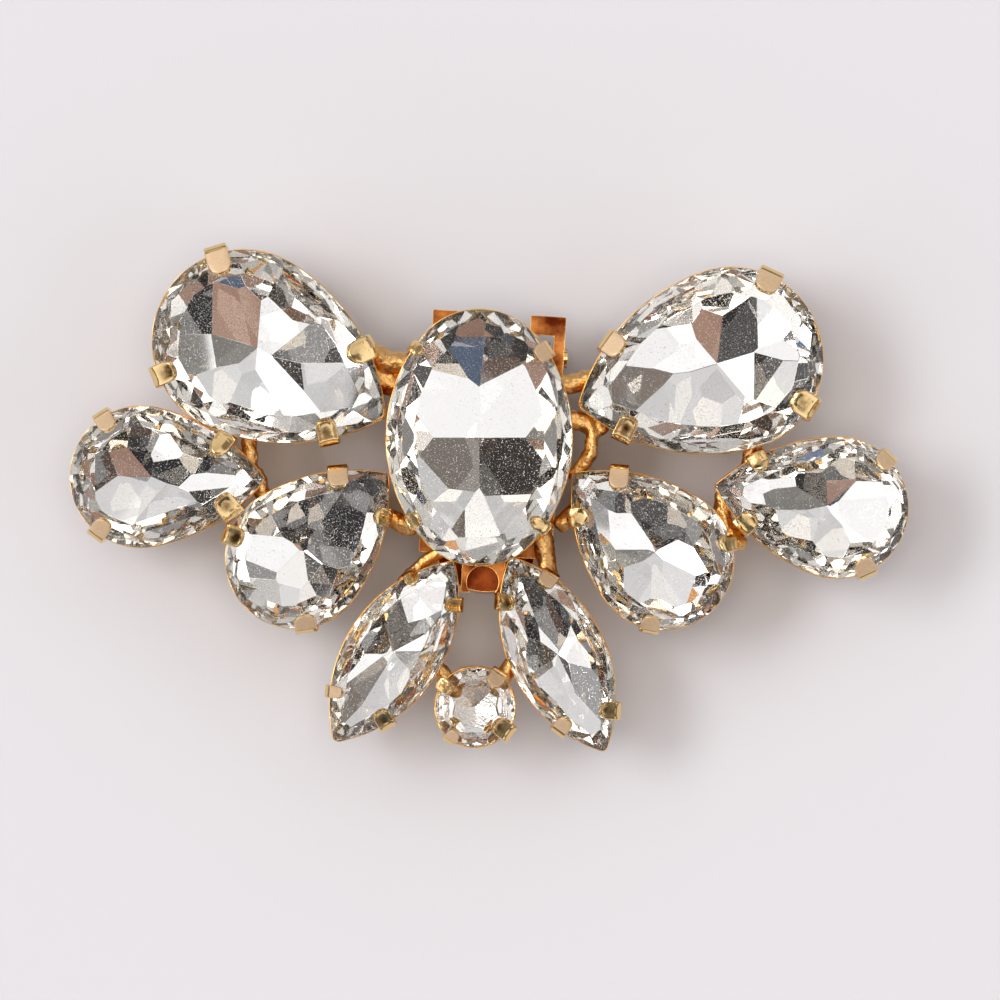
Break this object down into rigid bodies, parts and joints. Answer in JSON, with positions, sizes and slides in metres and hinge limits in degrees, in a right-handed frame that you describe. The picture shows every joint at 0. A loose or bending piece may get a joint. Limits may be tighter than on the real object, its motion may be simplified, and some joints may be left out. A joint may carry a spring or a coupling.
{
  "type": "shoe buckle",
  "caption": "Clip-on shoe buckle: a symmetric spray of cut glass stones in gilt claw cups, soldered together on a hinged shoe clip that grips the shoe's edge.",
  "frame": {"origin": "centre of the buckle's outline, on the surface that its closed clip lies on", "axes": "+X to the right and +Y towards the clip's fork as the stones are looked at, +Z out of the stones towards the eye"},
  "size_m": [0.06, 0.0362, 0.0109],
  "materials": {
    "gilt_setting": "gold-plated brass, polished walls, sanded claw tops",
    "gilt_clip": "gold-plated spring metal, darker and redder in its shadow",
    "crystal": "clear cut glass over a silver foil back"
  },
  "bodies": {
    "buckle": {"setting_frame": "gilt_setting", "stone_oval": "crystal", "stone_upper_left": "crystal", "stone_upper_right": "crystal", "stone_outer_left": "crystal", "stone_outer_right": "crystal", "stone_lower_left": "crystal", "stone_lower_right": "crystal", "stone_navette_left": "crystal", "stone_navette_right": "crystal", "stone_round": "crystal", "clip_base": "gilt_clip", "clip_pin": "gilt_clip"},
    "lever": {"clip_lever": "gilt_clip"}
  },
  "joints": [
    {"name": "lever_hinge", "type": "hinge", "parent": "buckle", "child": "lever", "pos_m": [0.00059, 0.0104, 0.0015], "axis": [0.9981, -0.061, 0], "range_deg": [0, 85]}
  ]
}
